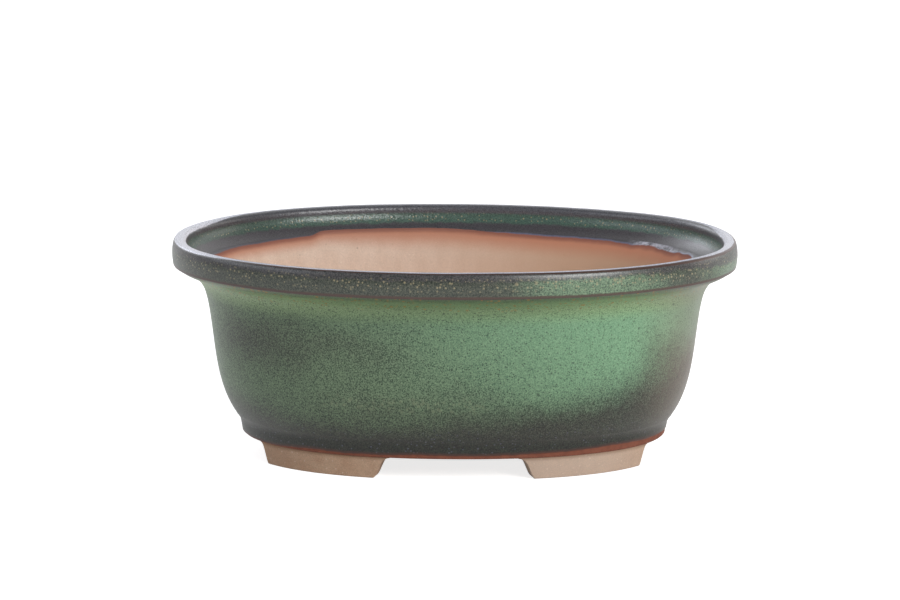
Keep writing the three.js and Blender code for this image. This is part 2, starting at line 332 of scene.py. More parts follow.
def slab_outline():
    """From the middle along the underside, up the band, and back along the floor."""
    outline = Outline((0, FOOT_TOP))
    outline.line((band_bottom - BAND_EDGE, FOOT_TOP), SLAB_STEPS)
    outline.curve((band_bottom, FOOT_TOP), (band_bottom, FOOT_TOP + BAND_EDGE))
    _, middle, below = crease()
    outline.line(below, BAND_STEPS)
    outline.curve(below.lerp(Vector((wall_base, FLOOR_LEVEL)), 0.5), middle, steps=CREASE_STEPS)
    outline.line((0, FLOOR_LEVEL), SLAB_STEPS)
    return outline


# Where the glaze ends


def wobble(point, waves, layer):
    """Noise round the pot, from -1 to 1."""
    return noise.noise(Vector((point.x * waves, point.y * waves, layer)))


def inner_glaze_line(point):
    """Height at which the glaze ends inside: over the seam left of the middle, under it elsewhere."""
    wander = wobble(point, *INNER_WANDER)
    ripple = wobble(point, *INNER_RIPPLE)
    left = smooth(-point.x, *HANG_LEFT) * (0.7 + 0.3 * smooth(-point.x, *HANG_LEFT_END))
    right = smooth(point.x, *HANG_RIGHT)
    runs = smooth(point.x, *RAGGED_RIGHT) * max(0.3 + 0.5 * wander + 0.3 * ripple, 0)
    drop = -INNER_GLAZE_RISE + INNER_GLAZE_HANG * max(left, right) + INNER_GLAZE_HANG * runs
    return SEAM_LEVEL - (drop + INNER_WANDER_SIZE * wander + INNER_RIPPLE_SIZE * ripple)


def band_glaze_line(point):
    """Height at which the glaze ends on the band above the feet, higher towards the right."""
    wander = wobble(point, *BAND_WANDER)
    ripple = wobble(point, *BAND_RIPPLE)
    rise = BAND_GLAZE_RISE - BAND_LEFT_DROP * smooth(-point.x, *BAND_LEFT)
    rise *= 1 - 0.7 * smooth(-point.x, *BAND_LEFT_END)
    level = FOOT_TOP + rise + BAND_RIGHT_RISE * smooth(point.x, *BAND_RIGHT)
    return level + BAND_WANDER_SIZE * wander + BAND_RIPPLE_SIZE * ripple


# Pieces


def hand_made(point):
    """Slight unevenness of hand-pressed clay, fading out towards the ground."""
    slow = noise.noise_vector(point * SLOW_WAVES) * SLOW_UNEVEN
    quick = noise.noise_vector(point * QUICK_WAVES) * QUICK_UNEVEN
    return point + (slow + quick) * (point.z / POT_TOP)


def bare_share(edge):
    """1 on bare clay and 0 under the glaze, at a distance from the glaze's edge."""
    return 1 - smooth(edge, *GLAZE_STEP)


def add_object(name, vertices, faces):
    mesh = bpy.data.meshes.new(name)
    mesh.from_pydata([tuple(v) for v in vertices], [], faces)
    mesh.update()
    piece = bpy.data.objects.new(name, mesh)
    bpy.context.scene.collection.objects.link(piece)
    return piece


def swept_points(points):
    """Outline points taken round the oval."""
    vertices = []
    for i in range(RING_SEGMENTS):
        vertices += [oval_point(p.x, ring_angle(i), p.y) for p in points]
    return vertices


def strip(here, there, rows):
    """Faces between two neighbouring rows of vertices, given by the first index of each."""
    return [(here + j, there + j, there + j + 1, here + j + 1) for j in range(rows - 1)]


def sweep(name, outline):
    """Closed piece: an outline taken round the oval."""
    rows = len(outline.points)
    faces = []
    for i in range(RING_SEGMENTS):
        here, there = i * rows, (i + 1) % RING_SEGMENTS * rows
        faces += strip(here, there, rows)
        faces.append((here + rows - 1, there + rows - 1, there, here))
    return add_object(name, swept_points(outline.points), faces)


def closed_disc(name, outline):
    """Sweep of an outline that starts and ends on the middle axis, closed there by fans."""
    vertices = swept_points(outline.points[1:-1])
    rows = len(outline.points) - 2
    bottom, top = len(vertices), len(vertices) + 1
    vertices += [Vector((0, 0, outline.points[0].y)), Vector((0, 0, outline.points[-1].y))]
    faces = []
    for i in range(RING_SEGMENTS):
        here, there = i * rows, (i + 1) % RING_SEGMENTS * rows
        faces += strip(here, there, rows)
        faces.append((bottom, there, here))
        faces.append((top, here + rows - 1, there + rows - 1))
    return add_object(name, vertices, faces)


def glaze_edges(piece, line, elsewhere, has_edge):
    """Height of each vertex over the line where the glaze ends, if its face has one."""
    return [v.co.z - line(v.co) if has_edge(v) else elsewhere for v in piece.data.vertices]


def set_values(piece, name, values, domain="POINT"):
    attribute = piece.data.attributes.new(name, "FLOAT", domain)
    attribute.data.foreach_set("value", values)


def displace(piece, move):
    """Moves each vertex to what a function gives for its place and index."""
    for vertex in piece.data.vertices:
        vertex.co = move(vertex.co.copy(), vertex.index)
    piece.data.update()


def finish_piece(piece, node):
    piece.data.shade_smooth()
    piece.data.set_sharp_from_angle(angle=SHARP_ANGLE)
    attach(piece, "root")
    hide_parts(node)


def rim_band():
    outline = rim_outline()
    rows = len(outline.points)
    cove = outline.marks["cove"]
    piece = sweep("rim_band_glazed", outline)
    edges = glaze_edges(piece, inner_glaze_line, FAR, lambda v: v.index % rows > cove)
    displace(piece, lambda point, index: hand_made(point))
    set_values(piece, "glaze_edge", edges)
    set_values(piece, "along", running_lengths(outline.points) * RING_SEGMENTS)
    around = running_lengths([oval_point(rim_reach, ring_angle(i)) for i in range(RING_SEGMENTS + 1)])
    corners = []
    for here, there in zip(around, around[1:]):
        corners += [here, there, there, here] * rows
    set_values(piece, "around", corners, "CORNER")
    piece.data.materials.append(rim_glaze(outline))
    finish_piece(piece, "rim_band")


def body_wall(outer_glaze):
    outline = wall_outline()
    rows = len(outline.points)
    inside_end = outline.marks["inside_end"]
    piece = sweep("body_wall_glazed", outline)
    normals = [v.normal.copy() for v in piece.data.vertices]
    edges = glaze_edges(piece, inner_glaze_line, FAR, lambda v: v.index % rows <= inside_end)

    def move(point, index):
        under_seam = smooth(SEAM_LEVEL - point.z, *SEAM_BLEND)
        return hand_made(point) - normals[index] * GLAZE_DEPTH * bare_share(edges[index]) * under_seam

    displace(piece, move)
    set_values(piece, "glaze_edge", edges)
    piece.data.materials.append(outer_glaze)
    piece.data.materials.append(inner_wall())
    for polygon in piece.data.polygons:
        polygon.material_index = int(min(v % rows for v in polygon.vertices) < inside_end)
    finish_piece(piece, "body_wall")


def hole_cutter(x, y, radius):
    """Round cutter through the floor that leaves a rounded edge at both faces."""
    outline = Outline((radius + 2 * HOLE_ROUNDING, FOOT_TOP - HOLE_ROUNDING))
    outline.line((radius + HOLE_ROUNDING, FOOT_TOP))
    outline.curve((radius, FOOT_TOP), (radius, FOOT_TOP + HOLE_ROUNDING))
    outline.line((radius, FLOOR_LEVEL - HOLE_ROUNDING))
    outline.curve((radius, FLOOR_LEVEL), (radius + HOLE_ROUNDING, FLOOR_LEVEL))
    outline.line((radius + 2 * HOLE_ROUNDING, FLOOR_LEVEL + HOLE_ROUNDING))
    rows = len(outline.points)
    vertices = []
    for i in range(HOLE_SEGMENTS):
        angle = 2 * math.pi * i / HOLE_SEGMENTS
        turn = Vector((math.cos(angle), math.sin(angle), 0))
        vertices += [Vector((x, y, p.y)) + turn * p.x for p in outline.points]
    faces = [[i * rows for i in reversed(range(HOLE_SEGMENTS))]]
    faces.append([i * rows + rows - 1 for i in range(HOLE_SEGMENTS)])
    for i in range(HOLE_SEGMENTS):
        faces += strip(i * rows, (i + 1) % HOLE_SEGMENTS * rows, rows)
    return add_object("hole_cutter", vertices, faces)


def cut_holes(piece):
    cutters = [hole_cutter(side * DRAIN_PLACE, 0, DRAIN_RADIUS) for side in (-1, 1)]
    for side in (-1, 1):
        for end in (-1, 1):
            cutters.append(hole_cutter(side * WIRE_PLACE[0], end * WIRE_PLACE[1], WIRE_RADIUS))
    for cutter in cutters:
        cut = piece.modifiers.new("hole", "BOOLEAN")
        cut.operation = "DIFFERENCE"
        cut.solver = "EXACT"
        cut.object = cutter
    graph = bpy.context.evaluated_depsgraph_get()
    piece.data = bpy.data.meshes.new_from_object(piece.evaluated_get(graph))
    piece.modifiers.clear()
    for cutter in cutters:
        bpy.data.objects.remove(cutter)


def on_band(point):
    """True at the slab's outer edge."""
    x_share = abs(point.x) / (band_bottom - 2 * BAND_EDGE)
    y_share = abs(point.y) / (half_width(band_bottom) - 2 * BAND_EDGE)
    return x_share**OVAL_POWER + y_share**OVAL_POWER > 1


def floor_slab(outer_glaze):
    piece = closed_disc("floor_slab_fired", slab_outline())
    cut_holes(piece)
    normals = [v.normal.copy() for v in piece.data.vertices]
    edges = glaze_edges(piece, band_glaze_line, -FAR, lambda v: on_band(v.co) and v.co.z > FOOT_TOP)

    def move(point, index):
        sunk = bare_share(edges[index]) if edges[index] > -FAR else 0
        return hand_made(point) - normals[index] * GLAZE_DEPTH * sunk

    displace(piece, move)
    set_values(piece, "glaze_edge", edges)
    for material in (bare_clay(), outer_glaze, inner_floor()):
        piece.data.materials.append(material)
    clay, glaze, inside = range(3)  # places of these materials
    for polygon in piece.data.polygons:
        if polygon.normal.z > LEVEL_NORMAL:
            polygon.material_index = inside
        elif on_band(polygon.center) and polygon.normal.z > -LEVEL_NORMAL:
            polygon.material_index = glaze
        else:
            polygon.material_index = clay
    finish_piece(piece, "floor_slab")


class OvalArc:
    """Stretch of the oval at the floor's lower edge, measured by its length."""

    SAMPLES = 600

    def __init__(self, start, finish):
        angles = [start + (finish - start) * i / self.SAMPLES for i in range(self.SAMPLES + 1)]
        self.points = [oval_point(band_bottom, angle) for angle in angles]
        self.lengths = running_lengths(self.points)

    def at(self, distance):
        """Point and inward direction at a distance along the arc."""
        i = 0
        while i < self.SAMPLES - 1 and self.lengths[i + 1] < distance:
            i += 1
        share = (distance - self.lengths[i]) / (self.lengths[i + 1] - self.lengths[i])
        tangent = (self.points[i + 1] - self.points[i]).normalized()
        return self.points[i].lerp(self.points[i + 1], share), Vector((-tangent.y, tangent.x, 0))


def foot_end(run):
    """Curved end of a foot as (distance along the foot, height): hollow, then straight, then round."""
    top = FOOT_TOP - FOOT_LAND
    root = Vector((FOOT_END_ROOT[0] * run, FOOT_END_ROOT[1] * top))
    tip = Vector((FOOT_END_TIP[0] * run, FOOT_END_TIP[1] * top))
    lean = (tip.x - root.x) / (root.y - tip.y)
    end = Outline((0, top))
    end.curve((root.x - lean * (top - root.y), top), root, steps=FOOT_END_STEPS)
    end.line(tip, FOOT_END_STEPS // 2)
    end.curve((tip.x + lean * tip.y, 0), (run, 0), steps=FOOT_END_STEPS)
    return end.points


def foot_section(underside):
    """Section of a foot as (distance in from the band, height), with rounded lower edges."""

    def outer_at(height):
        return FOOT_STEP + FOOT_TAPER * (1 - height / FOOT_TOP)

    def inner_at(height):
        return FOOT_STEP + FOOT_THICKNESS - FOOT_INNER_TAPER * (1 - height / FOOT_TOP)

    radius = min(FOOT_EDGE, (FOOT_TOP - underside) / 2)
    rise = underside + radius
    section = Outline((outer_at(FOOT_TOP), FOOT_TOP))
    section.line((outer_at(rise), rise), FOOT_FACE_STEPS)
    section.curve((outer_at(underside), underside), (outer_at(underside) + radius, underside))
    section.line((inner_at(underside) - radius, underside), FOOT_FACE_STEPS)
    section.curve((inner_at(underside), underside), (inner_at(rise), rise))
    section.line((inner_at(FOOT_TOP), FOOT_TOP), FOOT_FACE_STEPS)
    return section.points


def foot(node, clay, start, finish):
    """One foot along the oval between two ends, each an (angle, length of its curved end)."""
    start_angle, start_run = start
    finish_angle, finish_run = finish
    arc = OvalArc(start_angle, finish_angle)
    length = arc.lengths[-1]
    stations = list(foot_end(start_run))
    for i in range(1, FOOT_RUN_STEPS):
        stations.append(Vector((start_run + (length - start_run - finish_run) * i / FOOT_RUN_STEPS, 0)))
    stations += [Vector((length - p.x, p.y)) for p in reversed(foot_end(finish_run))]
    vertices = []
    for station in stations:
        point, inward = arc.at(station.x)
        section = foot_section(station.y)
        vertices += [point + inward * corner.x + Vector((0, 0, corner.y)) for corner in section]
    size = len(vertices) // len(stations)
    faces = []
    for row in range(len(stations) - 1):
        for i in range(size):
            here, there = row * size + i, row * size + (i + 1) % size
            faces.append((here, there, there + size, here + size))
    last = len(vertices) - size
    faces.append(list(reversed(range(size))))
    faces.append(list(range(last, last + size)))
    piece = add_object(node + "_fired", vertices, faces)
    displace(piece, lambda point, index: hand_made(point))
    piece.data.materials.append(clay)
    finish_piece(piece, node)


def feet():
    side = math.asin((SIDE_GAP / 2 / half_width(band_bottom)) ** (OVAL_POWER / 2))
    front = math.acos((FRONT_GAP / 2 / band_bottom) ** (OVAL_POWER / 2))
    # The feet get painted shade at their top, under the band
    clay = bare_clay(FOOT_TOP)
    foot("foot_rear_right", clay, (side, FOOT_SIDE_RUN), (front, FOOT_FRONT_RUN))
    foot("foot_rear_left", clay, (math.pi - front, FOOT_FRONT_RUN), (math.pi - side, FOOT_SIDE_RUN))
    foot("foot_front_left", clay, (math.pi + side, FOOT_SIDE_RUN), (math.pi + front, FOOT_FRONT_RUN))
    foot("foot_front_right", clay, (-front, FOOT_FRONT_RUN), (-side, FOOT_SIDE_RUN))


# Materials


def tint(red, green, blue):
    """Linear colour, as nodes take it, from 8-bit screen values."""

    def linear(value):
        share = value / 255
        return share / 12.92 if share <= 0.04045 else ((share + 0.055) / 1.055) ** 2.4

    return (linear(red), linear(green), linear(blue), 1)


class Shader:
    """New material or world. Adds nodes and links them."""

    DOT_SIZES = (0.5, 1.3)  # smallest and largest dot, in radii
    DOT_EDGE = (-0.06, 0.12)  # soft edge of a dot, in spacings

    def __init__(self, name, group="materials", place="Object"):
        self.owner = getattr(bpy.data, group).new(name)
        self.owner.use_nodes = True
        self.nodes = self.owner.node_tree.nodes
        self.place = self.add("TexCoord").outputs[place]

    def feed(self, socket, source):
        if isinstance(source, bpy.types.NodeSocket):
            self.owner.node_tree.links.new(source, socket)
        else:
            socket.default_value = source

    def add(self, kind, *sources, **settings):
        """New node with sources for its first inputs."""
        node = self.nodes.new("ShaderNode" + kind)
        for name, setting in settings.items():
            setattr(node, name, setting)
        for socket, source in zip(node.inputs, sources):
            self.feed(socket, source)
        return node

    def axes(self):
        return self.add("SeparateXYZ", self.place).outputs[:]

    def value(self, name):
        """Attribute of the mesh."""
        return self.add("Attribute", attribute_name=name).outputs["Fac"]

    def math(self, operation, *sources):
        return self.add("Math", *sources, operation=operation).outputs[0]

    def times(self, first, second):
        return self.math("MULTIPLY", first, second)

    def rest(self, share):
        """What a share leaves of 1."""
        return self.math("SUBTRACT", 1.0, share)

    def centred(self, source):
        """Noise moved from a mean of 0.5 to a mean of 0."""
        return self.math("SUBTRACT", source, 0.5)

    def total(self, base, *parts):
        """Base plus each (source, factor)."""
        for source, factor in parts:
            base = self.math("MULTIPLY_ADD", source, factor, base)
        return base

    def ramp(self, value, low, high, start=0.0, end=1.0, shape="SMOOTHSTEP"):
        """Step from start, at low, to end, at high."""
        sources = (value, low, high, start, end)
        return self.add("MapRange", *sources, interpolation_type=shape).outputs["Result"]

    def between(self, value, rise, fall):
        """1 between two steps, each (low, high)."""
        return self.times(self.ramp(value, *rise), self.ramp(value, *fall))

    def vector(self, operation, *sources):
        node = self.add("VectorMath", *sources, operation=operation)
        return node.outputs["Value" if operation == "LENGTH" else "Vector"]

    def moved(self, place, stretch, seed):
        return self.vector("ADD", self.vector("MULTIPLY", place, stretch), (seed, seed, seed))

    def noise(self, size, detail, roughness, seed, stretch=(1, 1, 1), output=0):
        """Noise whose lumps are about this size, from 0 to 1 with a mean of 0.5."""
        node = self.add("TexNoise", self.moved(self.place, stretch, seed))
        for name, value in (("Scale", 1 / size), ("Detail", detail), ("Roughness", roughness)):
            node.inputs[name].default_value = value
        return node.outputs[output]

    def dots(self, spacing, radius, share, seed, stretch=(1, 1, 1), flat_place=None):
        """Round dots in a share of the cells of a jittered grid: 1 inside a dot, 0 outside."""
        place = self.moved(flat_place or self.place, stretch, seed)
        dimensions = "2D" if flat_place else "3D"
        cells = self.add("TexVoronoi", place, voronoi_dimensions=dimensions)
        cells.inputs["Scale"].default_value = 1 / spacing
        present, size, _ = self.add("SeparateColor", cells.outputs["Color"]).outputs
        smallest, largest = (factor * radius / spacing for factor in self.DOT_SIZES)
        reach = self.ramp(size, 0.0, 1.0, smallest, largest)
        inside = self.ramp(self.math("SUBTRACT", reach, cells.outputs["Distance"]), *self.DOT_EDGE)
        return self.times(inside, self.math("LESS_THAN", present, share))

    def mix(self, share, first, second):
        """Colour between two. The node has its colours at 6 and 7, and their mix at 2."""
        node = self.add("Mix", share, data_type="RGBA")
        self.feed(node.inputs[6], first)
        self.feed(node.inputs[7], second)
        return node.outputs[2]

    def dotted(self, colour, kind, share, dot_colour, flat_place=None):
        dots = self.dots(*kind, flat_place=flat_place)
        return self.mix(self.times(dots, share), colour, dot_colour)

    def scaled(self, colour, factor):
        """Colour times a factor that varies over the surface."""
        node = self.add("VectorMath", colour, operation="SCALE")
        self.feed(node.inputs["Scale"], factor)
        return node.outputs["Vector"]

    def bump(self, height, strength, distance):
        node = self.add("Bump")
        for name, source in (("Strength", strength), ("Distance", distance), ("Height", height)):
            self.feed(node.inputs[name], source)
        self.feed(self.nodes["Principled BSDF"].inputs["Normal"], node.outputs[0])

    def finish(self, colour, roughness, ior=1.5):
        surface = self.nodes["Principled BSDF"]
        for name, source in (("Base Color", colour), ("Roughness", roughness), ("IOR", ior)):
            self.feed(surface.inputs[name], source)
        return self.owner


# Colours. A pair is dark and pale grains of glaze, or two tones of clay
GREEN_DULL = (tint(53, 74, 55), tint(128, 150, 116))
GREEN_LIGHT = (tint(108, 152, 119), tint(146, 188, 148))
GREEN_NECK = (tint(114, 139, 91), tint(157, 182, 132))
SMOKE = (tint(12, 13, 10), tint(82, 81, 71))
SPECK = tint(34, 46, 40)
WARM_GREY = tint(146, 124, 108)
FLECK = tint(174, 128, 58)
SPARK = tint(128, 130, 150)
PALE_DOT = tint(158, 166, 130)
BROWN_BREAK = tint(74, 46, 37)
FLASH_BROWN = tint(124, 70, 52)
FLASH_RED = tint(140, 82, 61)
FLASH_ORANGE = tint(192, 124, 94)
FLASH_DEEP = tint(140, 88, 74)
CLAY = (tint(200, 169, 142), tint(181, 144, 117))
CLAY_GRAIN = tint(240, 222, 204)
CLAY_PALE = tint(225, 211, 199)
# Painted shade at the top of the feet, under the band
CLAY_UNDER_BAND_SHADE = tint(134, 96, 72)
INNER_CLAY = (tint(230, 207, 189), tint(215, 188, 168))
# Painted shade of the inner clay towards the right
SHADED_CLAY = tint(196, 161, 134)
RIM_DARK = (tint(12, 25, 19), tint(90, 94, 79))
RIM_GREEN = (tint(64, 94, 70), tint(138, 163, 131))
RIM_TOP = (tint(38, 38, 40), tint(96, 92, 94))
RIM_DOT = tint(176, 162, 128)
# Painted reflection on the lip, and the brighter one at its ends
LIP_REFLECTION = tint(176, 180, 198)
LIP_END_REFLECTION = tint(224, 225, 236)
INNER_TOP = tint(86, 87, 93)
POOL_GREEN = tint(72, 97, 86)
POOL_GREY = tint(74, 72, 76)
EDGE_BLUE = tint(104, 108, 130)
EDGE_WHITE = tint(206, 206, 220)

# Noises: size of the lumps, detail, roughness, seed
CLOUD_DRIFT = (0.035, 3, 0.55, 0.7)
WALL_GRAIN = (0.00065, 1, 0.5, 2.2)
WALL_COARSE = (0.004, 3, 0.6, 5.2)
SMOKE_DRIFT = (0.030, 3, 0.55, 9.1)
WALL_SHEEN = (0.02, 2, 0.5, 8.0)
INNER_PATCHES = (0.0032, 2, 0.6, 7.7)
RIM_GRAIN = (0.00065, 1, 0.5, 6.2)
RIM_COARSE = (0.006, 3, 0.6, 1.2)
RIM_DIMPLES = (0.0013, 1, 0.5, 3.3)
CLAY_CLOUDS = (0.007, 3, 0.5, 1.3)
CLAY_FINE = (0.0006, 2, 0.6, 4.1)
INNER_FINE = (0.0009, 2, 0.6, 4.1)

# Dots: spacing, radius, share of the cells that have one, seed, and for one kind its stretch
PINHOLES = (0.0011, 0.00036, 0.7, 5.0)
SPECKS = (0.0062, 0.0006, 0.55, 7.0)
FLECKS = (0.0021, 0.0007, 0.6, 3.0, (1, 1, 1.3))
SPARKS = (0.0015, 0.0004, 0.35, 6.0)
PALE_DOTS = (0.0020, 0.0008, 0.9, 8.0)
RIM_DOTS = (0.0022, 0.00045, 0.7, 1.0)
RIM_BIG_DOTS = (0.0036, 0.0008, 0.6, 2.0)
RIM_PINHOLES = (0.0018, 0.00040, 0.6, 9.0)
POOL_DOTS = (0.0022, 0.0004, 0.5, 4.0)
DARK_GRAINS = (0.0034, 0.0004, 0.3, 2.0)
PALE_GRAINS = (0.0017, 0.0004, 0.35, 6.0)
INNER_PALE_GRAINS = (0.0021, 0.0004, 0.35, 6.0)

# Smoky clouds on the wall: middle, reach along each axis, strength
CLOUDS = (
    ((-0.112, -0.062, 0.070), (0.075, 0.075, 0.030), 0.75),
    ((-0.055, -0.095, 0.071), (0.070, 0.050, 0.024), 0.45),
    ((0.006, -0.095, 0.053), (0.035, 0.035, 0.014), 0.35),
    ((-0.040, -0.095, 0.042), (0.080, 0.040, 0.014), 0.40),
    ((0.114, -0.055, 0.065), (0.036, 0.060, 0.030), 0.50),
    ((-0.118, -0.045, 0.026), (0.045, 0.060, 0.022), 0.60),
    ((0.062, 0.088, 0.072), (0.070, 0.060, 0.026), 0.85),
    ((-0.055, 0.090, 0.056), (0.060, 0.050, 0.020), 0.50),
    ((-0.128, 0.030, 0.048), (0.045, 0.050, 0.022), 0.60),
)
CLOUD_SHIFT = 0.03  # how far the drift moves their edges

# Green stretches on the rim, given in the same way
RIM_CLEARINGS = (
    ((0.070, -0.102, 0.107), (0.078, 0.070, 0.030), 0.98),
    ((0.138, -0.035, 0.107), (0.045, 0.060, 0.030), 0.75),
    ((-0.145, -0.020, 0.107), (0.020, 0.040, 0.030), 0.25),
    ((-0.080, 0.100, 0.107), (0.060, 0.050, 0.030), 0.80),
)

# Smoke at the foot of the wall, under a line that climbs towards the right
SMOKE_LEVEL = 0.0315
SMOKE_CLIMB = 0.0215
SMOKE_CLIMB_PLACE = (-0.05, 0.125)
SMOKE_CLIMB_POWER = 1.5
SMOKE_END_CLIMB = 0.010
SMOKE_END_PLACE = (0.085, 0.135)
SMOKE_WANDER = 0.016
SMOKE_FADE = (0.020, -0.016)  # heights over the line

# Heights on the wall between which its looks change
NECK_HEIGHTS = (0.084, 0.096)
CORNER_HEIGHTS = (0.058, 0.074)
BASE_SHADE = (0.030, 0.016)
SEAM_SHADE = near(SEAM_LEVEL, -0.0042, -0.0004)
PALE_DOT_LEVEL = 0.0425
PALE_DOT_REACH = (0.007, 0.001)

# Dots on the wall: kind, heights between which they set in, strength, colour
WALL_DOTS = (
    (SPECKS, (0.099, 0.092), 0.75, SPECK),
    (FLECKS, (0.0925, 0.0970), 0.85, FLECK),
    (SPARKS, (0.034, 0.022), 0.35, SPARK),
)

# Places along the pot between which the looks of the wall change
TONE_RISE = 1.2  # the green gets lighter towards the right, and this much faster upwards
TONE_CHANGE = (0.0, 0.21)
PINHOLE_CHANGE = (0.05, 0.22)
NECK_PALER = (0.02, 0.09)  # both ways
CORNER_PLACE = (0.108, 0.128)
WARM_PLACE = (0.088, 0.130)
PALE_DOT_START = (-0.080, -0.055)
PALE_DOT_END = (0.030, 0.0)

# The same inside and on the feet
BROKEN_START = (0.095, 0.105)
BROKEN_END = (0.126, 0.114)
THIN_EDGE_PLACE = (-0.04, 0.0)
# Where the painted shade of the inner clay sets in
SHADED_CLAY_PLACE = (-0.07, 0.10)
NARROW_FLASH_PLACE = (-0.085, -0.030)
FOOT_PALER_START = (-0.06, 0.05)
FOOT_PALER_END = (0.115, 0.075)

# The same on the rim
RIM_SHADE_PLACE = (0.116, 0.144)
BIG_DOT_START = (0.010, 0.035)
# Ends of the lip, where its painted reflection is brightest
BIG_DOT_END = (0.125, 0.085)
LIP_LEFT_END = (-0.11, -0.14)
LIP_RIGHT_END = (0.122, 0.146)
LIP_RIGHT_FRONT = (0.055, 0.015)  # across the pot
POOL_DARK_PLACE = (-0.125, -0.075)
RUBBED_PLACE = (0.02, 0.10)
BREAK_START = (-0.125, -0.09)


def cloud_cover(shader, clouds, clear=1.0):
    """Share left clear by soft clouds, each (middle, reach, strength)."""
    drift = shader.noise(*CLOUD_DRIFT, output="Color")
    shift = shader.scaled(shader.vector("SUBTRACT", drift, (0.5, 0.5, 0.5)), CLOUD_SHIFT)
    place = shader.vector("ADD", shader.place, shift)
    for middle, reach, strength in clouds:
        away = shader.vector("DIVIDE", shader.vector("SUBTRACT", place, middle), reach)
        cloud = shader.ramp(shader.vector("LENGTH", away), 1.0, 0.0, 0.0, strength)
        clear = shader.times(clear, shader.rest(cloud))
    return clear


def clay_colour(shader, tones, grain, contrast, stretch):
    """Clay with slow clouds, fine grain and a few dark grains. A small stretch draws the clouds upright."""
    clouds = shader.noise(*CLAY_CLOUDS, (1, 1, stretch))
    colour = shader.mix(shader.ramp(clouds, 0.2, 0.8, 0.2, 0.8), *tones)
    colour = shader.dotted(colour, DARK_GRAINS, 0.35, BROWN_BREAK)
    return shader.scaled(colour, shader.ramp(grain, 0.25, 0.75, 1 - contrast, 1 + contrast))


def pale_clay(shader, grain, stretch):
    """Bare clay inside the pot, with pale grains, and painted shade that makes it darker and warmer towards
    the right.
    """
    x, _, _ = shader.axes()
    clay = clay_colour(shader, INNER_CLAY, grain, 0.06, stretch)
    clay = shader.dotted(clay, INNER_PALE_GRAINS, 0.5, CLAY_GRAIN)
    # Painted shade, darker and warmer towards the right
    return shader.mix(shader.ramp(x, *SHADED_CLAY_PLACE), clay, SHADED_CLAY)


def inner_clay(shader, grain, edge):
    """Bare clay of the inner wall, flashed orange along the glaze."""
    x, _, _ = shader.axes()
    clay = pale_clay(shader, grain, 0.2)
    reach = shader.times(edge, shader.ramp(x, *NARROW_FLASH_PLACE, 1.5, 1.0))
    clay = shader.mix(shader.ramp(reach, -0.0125, -0.0010, 0.0, 0.85), clay, FLASH_ORANGE)
    return shader.mix(shader.ramp(edge, -0.0028, -0.0002, 0.0, 0.90), clay, FLASH_DEEP)


def matt(shader, clay, grain):
    shader.bump(grain, 0.4, 0.00015)
    return shader.finish(clay, shader.ramp(grain, 0.2, 0.8, 0.8, 0.95))


def bare_clay(shaded_level=FAR):
    """Bare clay, with painted shade that turns it darker and browner just under a level where it meets the
    glaze.
    """
    shader = Shader("bare_clay")
    x, _, z = shader.axes()
    grain = shader.noise(*CLAY_FINE)
    clay = clay_colour(shader, CLAY, grain, 0.16, 1.0)
    paler = shader.ramp(x, *FOOT_PALER_START, 0.0, 0.38)
    paler = shader.times(paler, shader.ramp(x, *FOOT_PALER_END, 0.4, 1.0))
    clay = shader.mix(paler, clay, CLAY_PALE)
    clay = shader.dotted(clay, PALE_GRAINS, 0.4, CLAY_GRAIN)
    # Painted shade, darker and browner, just under the level where the clay meets the band
    flashed = shader.ramp(z, *near(shaded_level, -0.0026, -0.0002), 0.0, 0.55)
    return matt(shader, shader.mix(flashed, clay, CLAY_UNDER_BAND_SHADE), grain)


def inner_floor():
    shader = Shader("inner_floor")
    grain = shader.noise(*INNER_FINE)
    return matt(shader, pale_clay(shader, grain, 1.0), grain)


def inner_wall():
    """Bare clay under a thin edge of glaze, which is broken and white near the right end."""
    shader = Shader("inner_wall")
    x, _, _ = shader.axes()
    grain = shader.noise(*INNER_FINE)
    coarse = shader.noise(*WALL_COARSE)
    patches = shader.noise(*INNER_PATCHES)
    edge = shader.total(shader.value("glaze_edge"), (shader.centred(coarse), 0.0005))
    right = shader.ramp(x, *THIN_EDGE_PLACE, 0.25, 1.0)
    thin = shader.mix(shader.times(shader.ramp(edge, 0.0010, 0.0002), right), POOL_GREY, EDGE_BLUE)
    white = shader.times(shader.ramp(edge, 0.0040, 0.0006), shader.ramp(patches, 0.22, 0.75))
    broken = shader.between(x, BROKEN_START, BROKEN_END)
    glaze = shader.mix(broken, thin, shader.mix(white, POOL_GREY, EDGE_WHITE))
    glaze = shader.scaled(glaze, shader.ramp(grain, 0.2, 0.8, 0.85, 1.15))
    covered = shader.ramp(edge, -0.0003, 0.0003)
    colour = shader.mix(covered, inner_clay(shader, grain, edge), glaze)
    shader.bump(shader.total(grain, (coarse, 1.0)), 0.3, 0.00012)
    return shader.finish(colour, shader.total(0.85, (covered, -0.5)))


def wall_smoke(shader, x, z):
    """Share of smoke on the wall, at its foot and in clouds."""
    climb = shader.math("POWER", shader.ramp(x, *SMOKE_CLIMB_PLACE, shape="LINEAR"), SMOKE_CLIMB_POWER)
    end = shader.ramp(x, *SMOKE_END_PLACE)
    drift = shader.centred(shader.noise(*SMOKE_DRIFT))
    line = shader.total(SMOKE_LEVEL, (climb, SMOKE_CLIMB), (end, SMOKE_END_CLIMB), (drift, SMOKE_WANDER))
    low = shader.ramp(shader.math("SUBTRACT", z, line), *SMOKE_FADE)
    return shader.rest(cloud_cover(shader, CLOUDS, shader.rest(low)))


